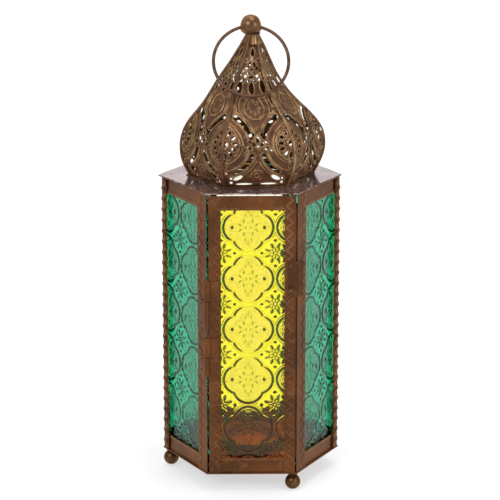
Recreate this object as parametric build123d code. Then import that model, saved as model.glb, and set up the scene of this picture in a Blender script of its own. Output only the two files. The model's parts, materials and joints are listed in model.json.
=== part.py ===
"""Six-sided sheet-metal lantern with glass panes, a hinged door, a pierced onion dome and a carrying ring.

Millimetres. +Z is up and the door faces -Y. The origin is on the table, under the middle of the body.
"""

import os
from math import atan2, cos, degrees, radians, sin, sqrt, tan

from build123d import *

# ---- body ----
SIDES = 6
plate_radius = 58.0  # floor and top plate, centre to corner
plate_overhang = 0.8  # plates stand this far outside the corner posts
sheet = 0.8  # thickness of plates, posts and rails
body_height = 186.3  # underside of the floor to the top of the top plate
vent_radius = 30.0  # round hole in the top plate, under the dome
door_post_wing = 11.4  # post strip beside the door, width
post_wing = 6.8  # each wing of the other four posts
post_bend = 1.0  # outer bend radius of a folded post
rail_height = 10.0
lip_height = 4.0  # folded-up lip round the floor
lip_gap = 0.3  # lip to rails and to the closed door

# ---- feet ----
foot_radius = 5.0
foot_flat = 0.1  # taken off the bottom of each ball
foot_neck_radius = 2.6
foot_neck = 1.6  # ball's top to the floor plate
foot_inset = 5.3  # plate corner to the foot's centre

# ---- candle cup ----
cup_bore = 20.0  # takes a 38 mm tea light
cup_wall = 0.6
cup_depth = 8.0

# ---- glass ----
glass = 2.5
glass_gap = 0.1
pane_width = 51.5
pane_cover = 2.5  # how far a pane reaches behind the top rail and the door stiles
pane_lift = 5.2  # floor's top face to a pane's lower edge
clip_sheet = 0.6
clip_width = 5.0
clip_lip = 3.0
clip_spread = 12.0  # clips stand this far each side of a pane's middle

# ---- door ----
door_gap_hinge = 0.6  # door to the edge of the post beside it
door_gap_latch = 0.3
door_gap_top = 1.2
door_gap_floor = 0.6
stile_hinge = 7.8
stile_latch = 7.0
door_rail_setback = 1.0  # door rails end this far inside the outer edges of the stiles
stop_width = 4.0
stop_gap = 0.3

# ---- hinge ----
knuckle_radius = 1.8
pin_radius = 0.9
pin_clearance = 0.05
hinge_gap = 0.3  # between knuckles, and round the barrel
hinge_foot = 65.9  # floor's top face to the lowest knuckle
knuckle_lengths = (12.2, 12.6, 5.6, 17.8, 13.2)  # body, door, open, body, door, from the bottom
hinge_sheet = 0.6
hinge_leaf = 7.0

# ---- latch ----
latch_foot = 118.7  # floor's top face to the clip's lower edge
latch_height = 22.8
latch_door_wing = 5.4
latch_post_wing = 5.0
latch_gap = 0.3
rivet_radius = 0.6
rivet_head = 1.0
rivet_head_height = 0.45
rivet_inset = 3.2  # clip's ends to the rivets

# ---- dome ----
dome_turn = 4.0  # the dome is soldered on a little askew
dome_height = 89.3
dome_foot_radius = 39.5  # to a seam, as all dome radii
bulge_radius = 46.0
dome_tip_radius = 4.7
dome_sheet = 0.7
# onion outline between foot and tip: share of the height, share of the bulge radius
onion = (
    (0.1204, 0.972),
    (0.2167, 1.0),
    (0.3323, 0.95),
    (0.4382, 0.805),
    (0.5489, 0.612),
    (0.6645, 0.455),
    (0.809, 0.285),
    (0.908, 0.202),
)
flange_out = 2.0
flange_in = 2.5
rib_width = 2.6
rib_height = 0.9
rib_gap = 0.05
# openings in each dome panel: share of height, distance from its middle, length, width, lean from upright
panel_slots = (
    (0.193, 12.0, 18.0, 4.0, 20.0),
    (0.453, 12.5, 22.0, 4.2, -38.0),
    (0.665, 5.6, 11.0, 2.8, 24.0),
    (0.809, 1.9, 7.0, 1.6, 6.0),
)

# ---- finial and ring ----
neck_radius = 3.4
neck_height = 0.5
cap_height = 0.5
ball_radius = 6.5
ring_radius = 23.65  # to the middle of the wire
wire_radius = 0.95
ring_hole_drop = 1.0  # ball's centre to the hole's axis
ring_hole_clearance = 0.25
ring_rest_gap = 0.9  # ring to the dome it leans on

# ---- derived places ----
DOOR_FACE = -90.0
half = radians(180 / SIDES)
post_radius = plate_radius - plate_overhang
apothem = post_radius * cos(half)
half_side = post_radius * sin(half)
floor_under = 2 * foot_radius - foot_flat + foot_neck
floor_top = floor_under + sheet
plate_top = floor_under + body_height
plate_under = plate_top - sheet
rail_inner = apothem - 2 * sheet
glass_outer = rail_inner - glass_gap
glass_inner = glass_outer - glass
window_low = floor_top + rail_height
window_high = plate_under - rail_height
pane_low = floor_top + pane_lift
pane_high = window_high + pane_cover
door_low = floor_top + door_gap_floor
door_high = plate_under - door_gap_top
door_left = -half_side + sheet * cos(half) + door_gap_hinge
door_right = half_side - sheet * cos(half) - door_gap_latch
window_left = door_left + stile_hinge
window_right = door_right - stile_latch
hinge_x, hinge_y = -half_side, -apothem
hinge_low = floor_top + hinge_foot
dome_low = plate_top + sheet
ball_z = dome_low + dome_height + cap_height + neck_height + sqrt(ball_radius**2 - neck_radius**2)
ring_axis_z = ball_z - ring_hole_drop


def polar(radius, angle):
    return Vector(radius * cos(radians(angle)), radius * sin(radians(angle)))


def prism(points, low, high):
    """Upright prism over a closed outline in plan."""
    outline = Polyline(*[(point.X, point.Y) for point in points], close=True)
    return Pos(0, 0, low) * extrude(make_face(outline), high - low)


def block(x0, x1, y0, y1, z0, z1):
    return Pos((x0 + x1) / 2, (y0 + y1) / 2, (z0 + z1) / 2) * Box(x1 - x0, y1 - y0, z1 - z0)


def upright(radius, low, high, x=0.0, y=0.0):
    return Pos(x, y, (low + high) / 2) * Cylinder(radius, high - low)


def to_face(number, part):
    """Turns a piece made for the door's side to side number 0 to 5, counter-clockwise from above."""
    return Rot(0, 0, 360 / SIDES * number) * part


def hexagon_slab(radius, low, high):
    return prism([polar(radius, 360 / SIDES * k) for k in range(SIDES)], low, high)


def barrel(radius, low, high):
    return upright(radius, low, high, hinge_x, hinge_y)


def knuckle_spans():
    """(low, high) of each stretch of the hinge, from the bottom."""
    spans, z = [], hinge_low
    for length in knuckle_lengths:
        spans.append((z, z + length))
        z += length + hinge_gap
    return spans


def barrel_room():
    spans = knuckle_spans()
    return barrel(knuckle_radius + hinge_gap, spans[0][0] - 2.0, spans[-1][1] + 2.0)


# ---- body pieces ----
def floor_plate():
    return hexagon_slab(plate_radius, floor_under, floor_top)


def side_strip(outer, inner, low, high):
    """Strip along the door's side between two apothems, mitred to its neighbours."""
    outer_half, inner_half = outer * tan(half), inner * tan(half)
    corners = [(-outer_half, -outer), (outer_half, -outer), (inner_half, -inner), (-inner_half, -inner)]
    return prism([Vector(*c) for c in corners], low, high)


def floor_lip():
    outer = rail_inner - lip_gap
    lip = side_strip(outer, outer - sheet, floor_top, floor_top + lip_height)
    return Compound([to_face(k, lip) for k in range(SIDES)])


def corner_post(angle):
    """Strip folded round a corner, one wing on each side."""
    corner = polar(post_radius, angle)
    left = corner + polar(post_wing, angle + 120)
    right = corner + polar(post_wing, angle - 120)
    inner = polar(post_radius - sheet / cos(half), angle)
    left_inner = left - polar(sheet, angle + 30)
    right_inner = right - polar(sheet, angle - 30)
    outline = [right, corner, left, left_inner, inner, right_inner]
    post = prism(outline, floor_top, plate_under)
    upright_edges = post.edges().filter_by(Axis.Z)
    fold = upright_edges.sort_by(lambda edge: edge.center().dot(corner))[-1]
    return fillet(fold, post_bend)


def door_post(side):
    """Flat strip beside the door: side 5 carries the hinge, side 1 the door stop."""
    end = half_side - door_post_wing
    strip = block(end, half_side, -apothem, -apothem + sheet, floor_top, plate_under)
    if side == 1:
        strip = mirror(strip, Plane.YZ)
    return to_face(side, strip) - barrel_room()


def door_stop():
    """Strip that the closed door's latch side rests against, soldered inside the latch-side post."""
    face_normal = DOOR_FACE + 60
    corner = polar(post_radius, DOOR_FACE + 30)
    front = -rail_inner + stop_gap
    back = front + sheet
    points = [Vector(half_side - stop_width, front)]
    for y in (front, back):
        x = (apothem - sheet - y * sin(radians(face_normal))) / cos(radians(face_normal))
        points.append(Vector(min(x, corner.X + half_side), y))
    points.append(Vector(half_side - stop_width, back))
    return prism(points, window_low, window_high)


def rail(side, low):
    return to_face(side, side_strip(apothem - sheet, rail_inner, low, low + rail_height))


def pane(x0, x1):
    return block(x0, x1, -glass_outer, -glass_inner, pane_low, pane_high)


def clips(middle):
    """Two bent tabs above a pane and two below it, soldered to the rails."""
    made = []
    for x in (middle - clip_spread, middle + clip_spread):
        x0, x1 = x - clip_width / 2, x + clip_width / 2
        lip_front = -glass_inner + glass_gap
        lip_back = lip_front + clip_sheet
        for edge, away in ((pane_low, -1), (pane_high, 1)):
            near = edge + away * glass_gap
            far = near + away * clip_sheet
            foot = block(x0, x1, -rail_inner, lip_back, min(near, far), max(near, far))
            tip = edge - away * clip_lip
            lip = block(x0, x1, lip_front, lip_back, min(tip, far), max(tip, far))
            made.append(foot + lip)
    return made


def top_plate():
    return hexagon_slab(plate_radius, plate_under, plate_top) - upright(vent_radius, plate_under, plate_top)


def foot(angle):
    place = polar(plate_radius - foot_inset, angle)
    centre = foot_radius - foot_flat
    ball = Pos(place.X, place.Y, centre) * Sphere(foot_radius)
    neck = upright(foot_neck_radius, centre, floor_under, place.X, place.Y)
    under = Pos(place.X, place.Y, -foot_radius) * Box(4 * foot_radius, 4 * foot_radius, 2 * foot_radius)
    return ball + neck - under


def candle_cup():
    rim = floor_top + cup_wall + cup_depth
    cup = upright(cup_bore + cup_wall, floor_top, rim) - upright(cup_bore, floor_top + cup_wall, rim)
    return cup


# ---- door pieces ----
def door_stile(x0, x1):
    return block(x0, x1, -apothem, -apothem + sheet, door_low, door_high)


def rivet_heights():
    low = floor_top + latch_foot
    return (low + rivet_inset, low + latch_height - rivet_inset)


def rivet_x():
    return door_right - latch_door_wing / 2 - rivet_head / 2


def rivet_bores():
    through = 2 * sheet
    low, high = rivet_heights()
    low_bore = block_rod(-apothem - through, -apothem + through, rivet_radius, low)
    high_bore = block_rod(-apothem - through, -apothem + through, rivet_radius, high)
    return low_bore + high_bore


def door_rail(low, high):
    x0, x1 = door_left + door_rail_setback, door_right - door_rail_setback
    return block(x0, x1, -apothem + sheet, -rail_inner, low, high)


def hinge_half(spans, leaf):
    """Barrel stretches joined to a leaf, bored for the pin."""
    for low, high in spans:
        leaf += barrel(knuckle_radius, low, high)
    bore = barrel(pin_radius + pin_clearance, hinge_low - 1.0, knuckle_spans()[-1][1] + 1.0)
    return leaf - bore


def leaf_plate(tabs, low, high):
    """Leaf on the outside of the door's side, with a tab to each of its knuckles."""
    clear = knuckle_radius + hinge_gap
    y0, y1 = hinge_y - hinge_sheet, hinge_y
    plate = block(hinge_x + clear, hinge_x + hinge_leaf + clear, y0, y1, low, high)
    for z0, z1 in tabs:
        plate += block(hinge_x, hinge_x + clear, y0, y1, z0, z1)
    return plate


def hinge_door_leaf():
    spans = knuckle_spans()
    tabs = (spans[1], spans[4])
    return hinge_half(tabs, leaf_plate(tabs, tabs[0][0], tabs[1][1]))


def hinge_body_leaf():
    """The same leaf, mirrored about the hinge's axis onto the side next to the door."""
    spans = knuckle_spans()
    tabs = (spans[0], spans[3])
    plate = Pos(-hinge_x, 0, 0) * leaf_plate(tabs, tabs[0][0], tabs[1][1])
    plate = mirror(plate, Plane.YZ)
    plate = Pos(hinge_x, hinge_y, 0) * Rot(0, 0, -60) * Pos(0, -hinge_y, 0) * plate
    return hinge_half(tabs, plate)


def hinge_pin():
    spans = knuckle_spans()
    shank = barrel(pin_radius, spans[0][0] - 1.0, spans[-1][1] + hinge_gap)
    return shank + barrel(knuckle_radius - 0.3, spans[-1][1] + hinge_gap, spans[-1][1] + hinge_gap + 0.8)


def latch_clip():
    """Springy strip riveted to the door, bent round the corner over the latch-side post."""
    low, high = floor_top + latch_foot, floor_top + latch_foot + latch_height
    face_normal = DOOR_FACE + 60
    on_door = block(door_right - latch_door_wing, door_right, -apothem - hinge_sheet, -apothem, low, high)
    near = apothem + latch_gap
    far = near + hinge_sheet
    corners = []
    for distance, y in ((near, -apothem), (far, -apothem - hinge_sheet)):
        x = (distance - y * sin(radians(face_normal))) / cos(radians(face_normal))
        corners.append(Vector(x, y))
    along = polar(latch_post_wing, face_normal + 90)
    wing = prism([corners[0], corners[1], corners[1] + along, corners[0] + along], low, high)
    door_edge = [Vector(door_right, -apothem), Vector(door_right, -apothem - hinge_sheet)]
    bridge = prism([*door_edge, corners[1], corners[0]], low, high)
    return on_door + bridge + wing - rivet_bores()


def latch_rivets():
    made = []
    outer = -apothem - hinge_sheet
    for z in rivet_heights():
        shank = block_rod(outer, -apothem + sheet, rivet_radius, z)
        head = block_rod(outer - rivet_head_height, outer, rivet_head, z)
        made.append(shank + head)
    return Compound(made)


def block_rod(y0, y1, radius, z):
    """Round rod along Y at the rivets' place."""
    return Pos(rivet_x(), (y0 + y1) / 2, z) * Rot(90, 0, 0) * Cylinder(radius, y1 - y0)


# ---- dome pieces ----
def outline_points():
    """Onion outline at a seam: (radius, height above the dome's foot)."""
    middle = [(share * bulge_radius, up * dome_height) for up, share in onion]
    return [(dome_foot_radius, 0.0), *middle, (dome_tip_radius, dome_height)]


def outline_strip(scale, inner, outer):
    """Section of a strip along the outline, between two distances outwards from the scaled curve."""
    curve = Spline(*[(r * scale, z) for r, z in outline_points()])
    steps = [k / 16 for k in range(17)]

    def moved(distance):
        places = []
        for step in steps:
            at, way = curve @ step, (curve % step).normalized()
            places.append((at.X + way.Y * distance, at.Y - way.X * distance))
        return places

    a, b = moved(outer), moved(inner)
    edges = [Spline(*a), Line(a[-1], b[-1]), Spline(*reversed(b)), Line(b[0], a[0])]
    return make_face(Wire([e for c in edges for e in c.edges()]))


def swung_panel(section, width):
    """Section in plan radius and height, made as wide as asked across the dome's front."""
    upright_plane = Plane(origin=(0, width / 2, dome_low), x_dir=(1, 0, 0), z_dir=(0, -1, 0))
    return extrude(upright_plane * section, width)


def slot_cutters():
    """Pointed openings in a panel, in pairs about its middle; the panel faces +X."""
    made = []
    front = Plane(origin=(0, 0, 0), x_dir=(0, 1, 0), z_dir=(1, 0, 0))
    for share, off, length, width, lean in panel_slots:
        arc = (length**2 + width**2) / (4 * width)
        lens = Pos(arc - width / 2, 0) * Circle(arc) & Pos(width / 2 - arc, 0) * Circle(arc)
        for side in (-1, 1):
            flat = Pos(side * off, dome_low + share * dome_height) * Rot(0, 0, side * lean) * lens
            made.append(extrude(front * flat, 2 * bulge_radius))
    return made


def dome_panel(number):
    """One of six gores, flat across and curved in height, pierced with pointed openings."""
    body = swung_panel(outline_strip(cos(half), -dome_sheet, 0.0), 2 * bulge_radius)
    reach = 2 * bulge_radius
    edge = [Vector(0, 0), polar(reach, -30), polar(reach, 30)]
    body = body & prism(edge, dome_low - 1.0, dome_low + dome_height + 1.0)
    for cutter in slot_cutters():
        body -= cutter
    return Rot(0, 0, DOOR_FACE + dome_turn + 60 * number) * body


def dome_rib(number):
    """Strip over the seam between two dome panels."""
    strip = swung_panel(outline_strip(1.0, rib_gap, rib_gap + rib_height), rib_width)
    room = upright(2 * bulge_radius, dome_low, dome_low + dome_height)
    return Rot(0, 0, DOOR_FACE + 30 + dome_turn + 60 * number) * (strip & room)


def dome_flange():
    ring = hexagon_slab(dome_foot_radius + flange_out, plate_top, dome_low)
    ring -= hexagon_slab(dome_foot_radius - flange_in, plate_top, dome_low)
    return Rot(0, 0, dome_turn) * ring


def neck_cap():
    low = dome_low + dome_height
    disc = upright(dome_tip_radius + rib_height, low, low + cap_height)
    return disc + upright(neck_radius, low + cap_height, low + cap_height + neck_height)


def finial_ball():
    ball = Pos(0, 0, ball_z) * Sphere(ball_radius)
    seat = dome_low + dome_height + cap_height + neck_height
    ball -= upright(ball_radius, seat - ball_radius, seat)
    hole = Pos(0, 0, ring_axis_z) * Rot(0, 90, 0) * Cylinder(ring_hole_radius(), 4 * ball_radius)
    return ball - hole


def ring_sag():
    """How far the ring's wire bows between the ball's two holes."""
    return ring_radius - sqrt(ring_radius**2 - ball_radius**2)


def ring_hole_radius():
    return wire_radius + ring_sag() / 2 + ring_hole_clearance


def dome_share(x, y):
    """Radius of the six-sided dome towards a place in plan, as a share of its seam radius."""
    off = (degrees(atan2(y, x)) - DOOR_FACE - dome_turn + 30) % 60 - 30
    return cos(half) / cos(radians(off))


def ring_hits_dome(lean):
    """Whether the ring, leaning this many degrees forward of straight down, comes too near a dome rib."""
    curve = Spline(*outline_points())
    outline = [curve @ (k / 40) for k in range(41)]
    reach = ring_radius - ring_sag() / 2
    for step in range(90):
        drop = reach + ring_radius * cos(radians(4 * step))
        x, y = ring_radius * sin(radians(4 * step)), -drop * sin(radians(lean))
        out = sqrt(x**2 + y**2) / dome_share(x, y)
        up = ring_axis_z - drop * cos(radians(lean)) - dome_low
        gaps = [sqrt((out - at.X) ** 2 + (up - at.Y) ** 2) for at in outline]
        nearest = outline[gaps.index(min(gaps))]
        inside = up < dome_height and out < nearest.X
        if inside or min(gaps) < rib_gap + rib_height + wire_radius + ring_rest_gap:
            return True
    return False


def resting_lean():
    """Least forward lean, in half degrees, that keeps the ring clear of the dome."""
    lean = 10.0
    while lean < 90.0 and ring_hits_dome(lean):
        lean += 0.5
    return lean


def carry_ring():
    lean = radians(resting_lean())
    down = Vector(0, -sin(lean), -cos(lean))
    centre = Vector(0, 0, ring_axis_z) + down * (ring_radius - ring_sag() / 2)
    plane = Plane(origin=centre, x_dir=(1, 0, 0), z_dir=Vector(1, 0, 0).cross(down))
    return plane * Torus(ring_radius, wire_radius)


def assembly():
    """Every piece, by node name."""
    nodes = {
        "floor_plate": floor_plate(),
        "floor_lip": floor_lip(),
        "top_plate": top_plate(),
        "candle_cup": candle_cup(),
        "foot_left": foot(180),
        "foot_front": foot(-60),
        "foot_back": foot(60),
        "door_post_hinge": door_post(5),
        "door_post_latch": door_post(1),
        "door_stop": door_stop(),
        "door_stile_hinge": door_stile(door_left, window_left) - barrel_room(),
        "door_stile_latch": door_stile(window_right, door_right) - rivet_bores(),
        "door_rail_top": door_rail(door_high - rail_height + door_gap_top, door_high),
        "door_rail_bottom": door_rail(door_low, window_low),
        "door_glass": pane(window_left - pane_cover, window_right + pane_cover),
        "door_glass_clips": Compound(clips((window_left + window_right) / 2)),
        "hinge_leaf_door": hinge_door_leaf(),
        "hinge_leaf_body": hinge_body_leaf(),
        "hinge_pin": hinge_pin(),
        "latch_clip": latch_clip(),
        "latch_rivets": latch_rivets(),
        "dome_flange": dome_flange(),
        "neck_cap": neck_cap(),
        "finial_ball": finial_ball(),
        "carry_ring": carry_ring(),
    }
    names = {1: "front_right", 2: "back_right", 3: "back", 4: "back_left", 5: "front_left"}
    for side, name in names.items():
        nodes[f"rail_top_{name}"] = rail(side, window_high)
        nodes[f"rail_bottom_{name}"] = rail(side, floor_top)
        nodes[f"glass_{name}"] = to_face(side, pane(-pane_width / 2, pane_width / 2))
    nodes["glass_clips"] = Compound([to_face(side, clip) for side in names for clip in clips(0.0)])
    for name, angle in (("right", 0), ("back_right", 60), ("back_left", 120), ("left", 180)):
        nodes[f"corner_post_{name}"] = corner_post(angle)
    for number in range(SIDES):
        nodes[f"dome_panel_{number + 1}"] = dome_panel(number)
        nodes[f"dome_rib_{number + 1}"] = dome_rib(number)
    return nodes


def main():
    os.makedirs("parts", exist_ok=True)
    for name, shape in assembly().items():
        export_step(shape, f"parts/{name}.step")


main()
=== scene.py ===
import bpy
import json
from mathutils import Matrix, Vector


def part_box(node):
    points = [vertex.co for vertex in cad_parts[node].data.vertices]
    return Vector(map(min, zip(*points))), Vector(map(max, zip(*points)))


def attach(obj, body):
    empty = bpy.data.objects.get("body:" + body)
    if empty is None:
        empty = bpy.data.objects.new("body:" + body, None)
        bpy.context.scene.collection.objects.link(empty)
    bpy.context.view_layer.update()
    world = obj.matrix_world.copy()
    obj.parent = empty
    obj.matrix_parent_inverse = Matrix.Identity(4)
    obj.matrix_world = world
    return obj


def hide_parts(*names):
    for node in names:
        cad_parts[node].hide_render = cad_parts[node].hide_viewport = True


bl_info = {
    "name": "Six-sided candle lantern",
    "version": (1, 0, 0),
    "blender": (4, 5, 0),
    "location": "3D View > Sidebar > Lantern",
    "description": "Builds the lantern's pressed glass, beaded sheet, pierced dome and ring",
    "category": "Object",
}

import json
from math import cos, pi, radians, sin, sqrt, tan

import bmesh
import bpy
import numpy as np
from mathutils import Matrix, Vector

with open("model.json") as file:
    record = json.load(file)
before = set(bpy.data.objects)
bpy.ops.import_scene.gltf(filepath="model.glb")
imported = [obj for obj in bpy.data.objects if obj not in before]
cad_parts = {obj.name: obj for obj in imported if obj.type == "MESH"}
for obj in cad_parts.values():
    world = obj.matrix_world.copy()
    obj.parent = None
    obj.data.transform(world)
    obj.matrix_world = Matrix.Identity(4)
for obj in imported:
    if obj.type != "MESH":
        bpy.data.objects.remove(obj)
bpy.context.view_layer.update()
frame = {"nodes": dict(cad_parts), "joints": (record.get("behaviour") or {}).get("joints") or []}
MM = 0.001


def box_mm(node):
    """Lowest and highest corner of a frame node, in millimetres."""
    low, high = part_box(node)
    return low / MM, high / MM


# ---- places taken from the frame, in millimetres ----
FLOOR, PLATE = box_mm("floor_plate"), box_mm("top_plate")
RAIL, GLASS, DOOR_GLASS = box_mm("rail_top_back"), box_mm("glass_back"), box_mm("door_glass")
HINGE_STILE, LATCH_STILE = box_mm("door_stile_hinge"), box_mm("door_stile_latch")
DOOR_LEAF, BODY_LEAF, PIN = box_mm("hinge_leaf_door"), box_mm("hinge_leaf_body"), box_mm("hinge_pin")
CLIP, RING = box_mm("latch_clip"), box_mm("carry_ring")
CAP, FLANGE, CUP = box_mm("neck_cap"), box_mm("dome_flange"), box_mm("candle_cup")
SHEET = RAIL[1].y - RAIL[0].y
APOTHEM = RAIL[1].y + SHEET
HALF_SIDE = APOTHEM * tan(pi / 6)
CORNER = APOTHEM / cos(pi / 6)
BODY_LOW, BODY_HIGH = FLOOR[1].z, PLATE[0].z
DOME_FOOT = FLANGE[1].z
SIDE_NAMES = {1: "front_right", 2: "back_right", 3: "back", 4: "back_left", 5: "front_left"}
POST_NAMES = {0: "right", 60: "back_right", 120: "back_left", 180: "left"}
POST_WING = 6.8
DOOR_POST_WIDTH = 11.4
DOME_TURN = 4.0
DOME_PROFILE = (
    (39.5, 0.0), (44.71, 10.75), (46.0, 19.35), (43.7, 29.67), (37.03, 39.13),
    (28.15, 49.02), (20.93, 59.34), (13.11, 72.24), (8.4, 81.08), (4.0, 89.3),
)


# ---- what a user would change ----
class LanternSizes(bpy.types.PropertyGroup):
    bead_pitch: bpy.props.FloatProperty(
        name="Bead pitch", description="Length of one zigzag of the bead beside the glass",
        default=7.15 * MM, unit="LENGTH")
    bead_height: bpy.props.FloatProperty(
        name="Bead height", description="How far the zigzag stands out of the sheet",
        default=0.5 * MM, unit="LENGTH")
    motif_pitch: bpy.props.FloatProperty(
        name="Motif pitch", description="Distance between quatrefoils in the pressed glass",
        default=33.4 * MM, unit="LENGTH")
    glass_relief: bpy.props.FloatProperty(
        name="Glass relief", description="Depth of the pressed lines", default=0.55 * MM, unit="LENGTH")
    emboss_height: bpy.props.FloatProperty(
        name="Dome embossing", description="Height of the raised rims on the dome",
        default=0.6 * MM, unit="LENGTH")


class LanternColours(bpy.types.PropertyGroup):
    amber: bpy.props.FloatVectorProperty(
        name="Amber", description="Glass of the door", default=(1.0, 0.91, 0.045), subtype="COLOR", size=3)
    green: bpy.props.FloatVectorProperty(
        name="Green", description="Glass beside the door and behind it at the sides",
        default=(0.1, 0.78, 0.54), subtype="COLOR", size=3)
    bronze: bpy.props.FloatVectorProperty(
        name="Bronze", description="Paint of the body", default=(0.1, 0.034, 0.01), subtype="COLOR", size=3)
    brass: bpy.props.FloatVectorProperty(
        name="Brass", description="High spots of the dome and the balls",
        default=(0.32, 0.2, 0.09), subtype="COLOR", size=3)


# ---- mesh helpers, all in millimetres until a piece is finished ----
def sheet_grid(u0, u1, v0, v1, cell):
    """Flat sheet of about square cells, u across and v up, facing +Z."""
    bm = bmesh.new()
    across, along = max(1, round((u1 - u0) / cell)), max(1, round((v1 - v0) / cell))
    bmesh.ops.create_grid(bm, x_segments=across, y_segments=along, size=0.5)
    bmesh.ops.scale(bm, vec=(u1 - u0, v1 - v0, 1), verts=bm.verts)
    bmesh.ops.translate(bm, vec=((u0 + u1) / 2, (v0 + v1) / 2, 0), verts=bm.verts)
    return bm


def places(bm):
    """Columns of x, y and z of all vertices."""
    return np.array([v.co for v in bm.verts]).T


def reshape(bm, rule):
    """Moves every vertex by a rule that takes and gives whole columns of x, y and z."""
    moved = np.stack(np.broadcast_arrays(*rule(*places(bm))), 1)
    for vert, place in zip(bm.verts, moved):
        vert.co = place


def paint(bm, name, values):
    """Keeps a number from 0 to 1 on each vertex, for the material."""
    layer = bm.verts.layers.float.get(name) or bm.verts.layers.float.new(name)
    for vert, value in zip(bm.verts, np.broadcast_to(values, len(bm.verts))):
        vert[layer] = value


def smooth_step(value, low, high):
    t = np.clip((value - low) / (high - low), 0, 1)
    return t * t * (3 - 2 * t)


def stroke(distance, width):
    """1 on a line, falling smoothly to 0 half a width and a bit away from it."""
    return 1 - smooth_step(np.abs(distance), width * 0.25, width * 0.75)


def turn(bm, degrees, axis="Z", centre=(0, 0, 0)):
    bmesh.ops.rotate(bm, cent=centre, matrix=Matrix.Rotation(radians(degrees), 3, axis), verts=bm.verts)


def block(bm, low, high, bevel=0.12):
    """Box between two corners with softened edges, added to bm."""
    made = bmesh.ops.create_cube(bm, size=1.0)["verts"]
    size = [b - a for a, b in zip(low, high)]
    bmesh.ops.scale(bm, vec=size, verts=made)
    bmesh.ops.translate(bm, vec=[(a + b) / 2 for a, b in zip(low, high)], verts=made)
    edges = list({e for v in made for e in v.link_edges})
    bmesh.ops.bevel(bm, geom=edges, offset=bevel, segments=2, profile=0.5, affect="EDGES", material=-1)


def rod(bm, radius, low, high, x=0.0, y=0.0, bevel=0.2, steps=32):
    """Upright rod with softened ends, added to bm."""
    made = bmesh.ops.create_cone(
        bm, cap_ends=True, segments=steps, radius1=radius, radius2=radius, depth=high - low)["verts"]
    bmesh.ops.translate(bm, vec=(x, y, (low + high) / 2), verts=made)
    edges = {e for v in made for e in v.link_edges}
    rims = [e for e in edges if abs(e.verts[0].co.z - e.verts[1].co.z) < 1e-6]
    bmesh.ops.bevel(bm, geom=rims, offset=bevel, segments=2, profile=0.5, affect="EDGES", material=-1)
    return made


def spin_round(bm, geom, steps):
    """Full turn about Z, closed and facing outwards."""
    bmesh.ops.spin(
        bm, geom=geom, axis=(0, 0, 1), cent=(0, 0, 0), steps=steps, angle=2 * pi, use_merge=True)
    bmesh.ops.remove_doubles(bm, verts=bm.verts, dist=1e-4)
    bmesh.ops.recalc_face_normals(bm, faces=bm.faces)


def turned(profile, steps=64):
    """Solid of revolution about Z through (radius, height) points."""
    bm = bmesh.new()
    chain = [bm.verts.new((r, 0, z)) for r, z in profile]
    edges = [bm.edges.new(pair) for pair in zip(chain, chain[1:])]
    spin_round(bm, chain + edges, steps)
    return bm


def arc(radius, height, size, start, end, count=12):
    """Points of a profile's round part: centre at (radius, height), angles in degrees."""
    return [(radius + size * cos(radians(start + (end - start) * k / count)),
             height + size * sin(radians(start + (end - start) * k / count))) for k in range(count + 1)]


def thicken(bm, wall):
    """Gives a sheet its wall, on the side away from its face."""
    bmesh.ops.solidify(bm, geom=list(bm.faces), thickness=wall)


def finish_piece(name, bm, body, nodes, material, crease=40.0):
    """Turns a finished bmesh into a piece that rides on a body and stands for frame nodes."""
    bmesh.ops.scale(bm, vec=(MM, MM, MM), verts=bm.verts)
    mesh = bpy.data.meshes.new(name)
    bm.to_mesh(mesh)
    bm.free()
    mesh.shade_smooth()
    mesh.set_sharp_from_angle(angle=radians(crease))
    mesh.materials.append(material)
    piece = bpy.data.objects.new(name, mesh)
    bpy.context.scene.collection.objects.link(piece)
    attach(piece, body)
    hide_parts(*nodes)
    return piece


# ---- shader groups, each built once and shared ----
def new_group(name, inputs, outputs):
    """Empty node group: inputs as (name, socket type, default), outputs as (name, socket type)."""
    group = bpy.data.node_groups.new(name, "ShaderNodeTree")
    for label, kind, default in inputs:
        socket = group.interface.new_socket(label, in_out="INPUT", socket_type=kind)
        socket.default_value = default
    for label, kind in outputs:
        group.interface.new_socket(label, in_out="OUTPUT", socket_type=kind)
    return group, group.nodes.new("NodeGroupInput"), group.nodes.new("NodeGroupOutput")


def add(tree, kind, links=(), **settings):
    """New node with its properties and defaults set and its inputs linked: links as (input, socket)."""
    node = tree.nodes.new(kind)
    for key, value in settings.items():
        if key.startswith("in_"):
            node.inputs[int(key[3:])].default_value = value
        else:
            setattr(node, key, value)
    for target, source in links:
        tree.links.new(source, node.inputs[target])
    return node


def noise(tree, place, scale, detail=4.0, rough=0.55):
    node = add(tree, "ShaderNodeTexNoise", [("Vector", place)], in_2=scale, in_3=detail, in_4=rough)
    return node.outputs["Fac"]


def ramp(tree, value, low, high):
    """value spread so that low gives 0 and high gives 1."""
    node = add(tree, "ShaderNodeMapRange", [("Value", value)], interpolation_type="SMOOTHSTEP")
    node.inputs["From Min"].default_value = low
    node.inputs["From Max"].default_value = high
    return node.outputs["Result"]


def math_node(tree, operation, a, b):
    """a and b are sockets or numbers."""
    node = add(tree, "ShaderNodeMath", operation=operation)
    for index, value in enumerate((a, b)):
        if isinstance(value, (int, float)):
            node.inputs[index].default_value = value
        else:
            tree.links.new(value, node.inputs[index])
    return node.outputs[0]


def mix_colour(tree, factor, a, b):
    node = add(tree, "ShaderNodeMix", data_type="RGBA")
    for index, value in ((0, factor), (6, a), (7, b)):
        if hasattr(value, "is_output"):
            tree.links.new(value, node.inputs[index])
        else:
            node.inputs[index].default_value = value
    return node.outputs[2]


def bump_up(tree, height, strength, distance, shader):
    """Lets a height tilt the shader's normal."""
    bump = add(tree, "ShaderNodeBump", [("Height", height)])
    bump.inputs["Strength"].default_value = strength
    bump.inputs["Distance"].default_value = distance
    tree.links.new(bump.outputs["Normal"], shader.inputs["Normal"])


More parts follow.
